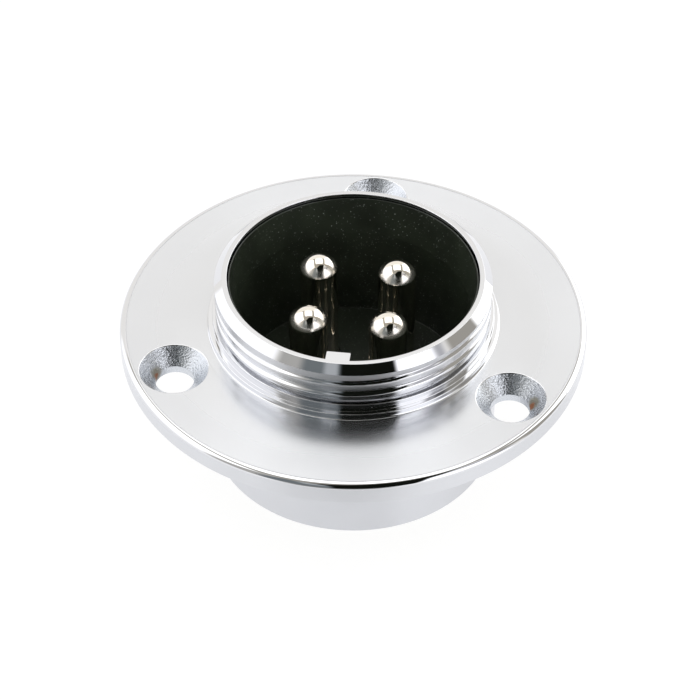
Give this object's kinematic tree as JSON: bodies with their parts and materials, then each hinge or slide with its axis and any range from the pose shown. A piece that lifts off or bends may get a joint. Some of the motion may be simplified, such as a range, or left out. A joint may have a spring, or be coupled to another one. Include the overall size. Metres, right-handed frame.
{
  "type": "flange-mount circular power receptacle",
  "caption": "Round metal panel receptacle with a threaded coupling collar, a polarising key and male pin contacts in a deep insulated cavity.",
  "frame": {"origin": "centre of the screw circle in the flange's rear face, which seats on the panel", "axes": "+Z along the connector's axis, towards the mating side; the polarising key is on the -Y side"},
  "size_m": [0.051, 0.051, 0.0235],
  "materials": {
    "plated_shell": "satin plating on the flange and barrel, mirror on the collar and the flange's rounded edge",
    "phenolic": "moulded black phenolic with fine mineral flecks",
    "contact_plating": "bright nickel on turned brass",
    "spring_steel": "dark oiled spring steel"
  },
  "bodies": {
    "root": {"shell": "plated_shell", "insulator_cup": "phenolic", "insulator_plate": "phenolic", "contact_1": "contact_plating", "contact_2": "contact_plating", "contact_3": "contact_plating", "contact_4": "contact_plating", "retaining_ring": "spring_steel"}
  },
  "joints": []
}
